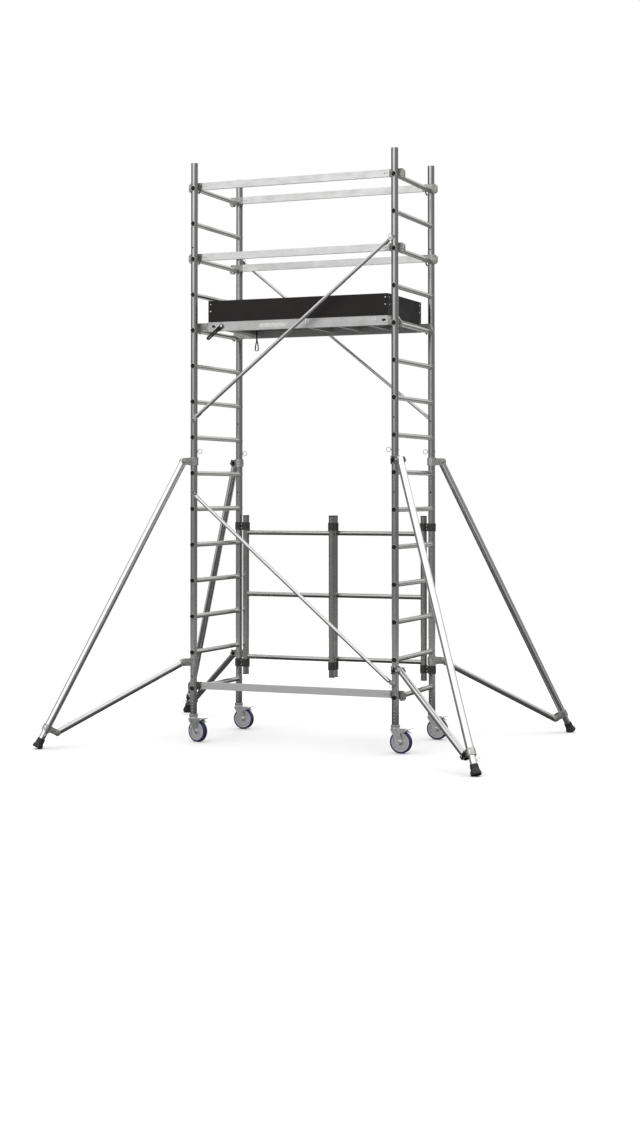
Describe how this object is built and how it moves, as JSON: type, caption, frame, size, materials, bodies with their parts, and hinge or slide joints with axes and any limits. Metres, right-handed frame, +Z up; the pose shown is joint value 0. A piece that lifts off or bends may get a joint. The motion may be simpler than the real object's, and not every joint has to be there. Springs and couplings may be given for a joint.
{
  "type": "mobile scaffold tower",
  "caption": "Mobile aluminium access tower: ladder end frames on castors with a boarded platform, guardrails, braces, a folding base panel and telescopic stabilisers.",
  "frame": {"origin": "on the floor, under the middle of the tower", "axes": "+X along the bay from left to right, +Y from the front to the rear, +Z up"},
  "size_m": [3.172, 2.3042, 4.046],
  "materials": {
    "mill_aluminium": "mill-finished extruded tube, lightly brushed along its length",
    "bright_aluminium": "bright mill-finished tube",
    "aluminium_bar": "satin extruded profile",
    "cast_aluminium": "cast, fine-grained",
    "clamp_aluminium": "cast clamps with zinc-plated bolts",
    "zinc_steel": "zinc-plated pressed steel",
    "dark_clamp": "dark passivated clamps",
    "black_plastic": "black moulded plastic and coated wire",
    "toe_board": "black-faced board with sealed edges",
    "deck_board": "film-faced plywood with a slip-resistant top",
    "webbing": "woven black webbing",
    "wheel_centre": "light grey moulded nylon",
    "tyre": "dark blue elastic tread",
    "foot_rubber": "black moulded rubber"
  },
  "bodies": {
    "root": {"base_uprights": "mill_aluminium", "base_rungs": "mill_aluminium", "upper_uprights": "mill_aluminium", "upper_rungs": "mill_aluminium", "spigots": "mill_aluminium", "spring_pins": "zinc_steel", "castor_stems": "zinc_steel", "fold_panel_left": "mill_aluminium", "fold_panel_right": "mill_aluminium", "fold_clamps": "dark_clamp", "post_caps": "black_plastic", "horizontal_brace": "aluminium_bar", "diagonal_braces": "mill_aluminium", "guardrails": "aluminium_bar", "rail_claws": "cast_aluminium", "platform_beams": "aluminium_bar", "platform_deck": "deck_board", "platform_claws": "cast_aluminium", "trapdoor_hinges": "zinc_steel", "toe_boards": "toe_board", "platform_fittings": "zinc_steel"},
    "trapdoor": {"trapdoor": "deck_board", "pull_strap": "webbing"},
    "lock_lever": {"lift_lock_lever": "black_plastic"},
    "fork_front_left": {"castor_fork_front_left": "zinc_steel"},
    "wheel_front_left": {"castor_wheel_front_left": "wheel_centre", "castor_tyre_front_left": "tyre"},
    "brake_front_left": {"castor_brake_front_left": "zinc_steel"},
    "stabiliser_front_left": {"stabiliser_clamps_front_left": "clamp_aluminium", "stabiliser_tube_front_left": "bright_aluminium", "stabiliser_strut_front_left": "bright_aluminium"},
    "leg_front_left": {"stabiliser_leg_front_left": "bright_aluminium", "stabiliser_foot_front_left": "foot_rubber"},
    "fork_front_right": {"castor_fork_front_right": "zinc_steel"},
    "wheel_front_right": {"castor_wheel_front_right": "wheel_centre", "castor_tyre_front_right": "tyre"},
    "brake_front_right": {"castor_brake_front_right": "zinc_steel"},
    "stabiliser_front_right": {"stabiliser_clamps_front_right": "clamp_aluminium", "stabiliser_tube_front_right": "bright_aluminium", "stabiliser_strut_front_right": "bright_aluminium"},
    "leg_front_right": {"stabiliser_leg_front_right": "bright_aluminium", "stabiliser_foot_front_right": "foot_rubber"},
    "fork_rear_left": {"castor_fork_rear_left": "zinc_steel"},
    "wheel_rear_left": {"castor_wheel_rear_left": "wheel_centre", "castor_tyre_rear_left": "tyre"},
    "brake_rear_left": {"castor_brake_rear_left": "zinc_steel"},
    "stabiliser_rear_left": {"stabiliser_clamps_rear_left": "clamp_aluminium", "stabiliser_tube_rear_left": "bright_aluminium", "stabiliser_strut_rear_left": "bright_aluminium"},
    "leg_rear_left": {"stabiliser_leg_rear_left": "bright_aluminium", "stabiliser_foot_rear_left": "foot_rubber"},
    "fork_rear_right": {"castor_fork_rear_right": "zinc_steel"},
    "wheel_rear_right": {"castor_wheel_rear_right": "wheel_centre", "castor_tyre_rear_right": "tyre"},
    "brake_rear_right": {"castor_brake_rear_right": "zinc_steel"},
    "stabiliser_rear_right": {"stabiliser_clamps_rear_right": "clamp_aluminium", "stabiliser_tube_rear_right": "bright_aluminium", "stabiliser_strut_rear_right": "bright_aluminium"},
    "leg_rear_right": {"stabiliser_leg_rear_right": "bright_aluminium", "stabiliser_foot_rear_right": "foot_rubber"}
  },
  "joints": [
    {"name": "trapdoor_hinge", "type": "hinge", "parent": "root", "child": "trapdoor", "pos_m": [-0.298, -0.3, 2.9295], "axis": [1, 0, 0], "range_deg": [0, 90]},
    {"name": "lock_lever_pivot", "type": "hinge", "parent": "root", "child": "lock_lever", "pos_m": [-0.552, -0.343, 2.895], "axis": [0, 1, 0], "range_deg": [-51, 39]},
    {"name": "castor_swivel_front_left", "type": "hinge", "parent": "root", "child": "fork_front_left", "pos_m": [-0.75, -0.37, 0.165], "axis": [0, 0, 1], "continuous": true},
    {"name": "wheel_spin_front_left", "type": "hinge", "parent": "fork_front_left", "child": "wheel_front_left", "pos_m": [-0.71136, -0.38035, 0.075], "axis": [0.2588, 0.9659, 0], "continuous": true},
    {"name": "brake_pedal_front_left", "type": "hinge", "parent": "fork_front_left", "child": "brake_front_left", "pos_m": [-0.68045, -0.38864, 0.152], "axis": [-0.2588, -0.9659, 0], "range_deg": [0, 16]},
    {"name": "stabiliser_swing_front_left", "type": "hinge", "parent": "root", "child": "stabiliser_front_left", "pos_m": [-0.75, -0.37, 1.25], "axis": [0, 0, 1], "range_deg": [-43, 47]},
    {"name": "leg_slide_front_left", "type": "slide", "parent": "stabiliser_front_left", "child": "leg_front_left", "axis": [-0.3414, -0.3183, -0.8844], "range_m": [0, 0.35]},
    {"name": "castor_swivel_front_right", "type": "hinge", "parent": "root", "child": "fork_front_right", "pos_m": [0.75, -0.37, 0.165], "axis": [0, 0, 1], "continuous": true},
    {"name": "wheel_spin_front_right", "type": "hinge", "parent": "fork_front_right", "child": "wheel_front_right", "pos_m": [0.79, -0.37, 0.075], "axis": [0, 1, 0], "continuous": true},
    {"name": "brake_pedal_front_right", "type": "hinge", "parent": "fork_front_right", "child": "brake_front_right", "pos_m": [0.822, -0.37, 0.152], "axis": [0, -1, 0], "range_deg": [0, 16]},
    {"name": "stabiliser_swing_front_right", "type": "hinge", "parent": "root", "child": "stabiliser_front_right", "pos_m": [0.75, -0.37, 1.25], "axis": [0, 0, 1], "range_deg": [-47, 43]},
    {"name": "leg_slide_front_right", "type": "slide", "parent": "stabiliser_front_right", "child": "leg_front_right", "axis": [0.3414, -0.3183, -0.8844], "range_m": [0, 0.35]},
    {"name": "castor_swivel_rear_left", "type": "hinge", "parent": "root", "child": "fork_rear_left", "pos_m": [-0.75, 0.37, 0.165], "axis": [0, 0, 1], "continuous": true},
    {"name": "wheel_spin_rear_left", "type": "hinge", "parent": "fork_rear_left", "child": "wheel_rear_left", "pos_m": [-0.71, 0.37, 0.075], "axis": [0, 1, 0], "continuous": true},
    {"name": "brake_pedal_rear_left", "type": "hinge", "parent": "fork_rear_left", "child": "brake_rear_left", "pos_m": [-0.678, 0.37, 0.152], "axis": [0, -1, 0], "range_deg": [0, 16]},
    {"name": "stabiliser_swing_rear_left", "type": "hinge", "parent": "root", "child": "stabiliser_rear_left", "pos_m": [-0.75, 0.37, 1.25], "axis": [0, 0, 1], "range_deg": [-47, 43]},
    {"name": "leg_slide_rear_left", "type": "slide", "parent": "stabiliser_rear_left", "child": "leg_rear_left", "axis": [-0.3414, 0.3183, -0.8844], "range_m": [0, 0.35]},
    {"name": "castor_swivel_rear_right", "type": "hinge", "parent": "root", "child": "fork_rear_right", "pos_m": [0.75, 0.37, 0.165], "axis": [0, 0, 1], "continuous": true},
    {"name": "wheel_spin_rear_right", "type": "hinge", "parent": "fork_rear_right", "child": "wheel_rear_right", "pos_m": [0.79, 0.37, 0.075], "axis": [0, 1, 0], "continuous": true},
    {"name": "brake_pedal_rear_right", "type": "hinge", "parent": "fork_rear_right", "child": "brake_rear_right", "pos_m": [0.822, 0.37, 0.152], "axis": [0, -1, 0], "range_deg": [0, 16]},
    {"name": "stabiliser_swing_rear_right", "type": "hinge", "parent": "root", "child": "stabiliser_rear_right", "pos_m": [0.75, 0.37, 1.25], "axis": [0, 0, 1], "range_deg": [-43, 47]},
    {"name": "leg_slide_rear_right", "type": "slide", "parent": "stabiliser_rear_right", "child": "leg_rear_right", "axis": [0.3414, 0.3183, -0.8844], "range_m": [0, 0.35]}
  ]
}
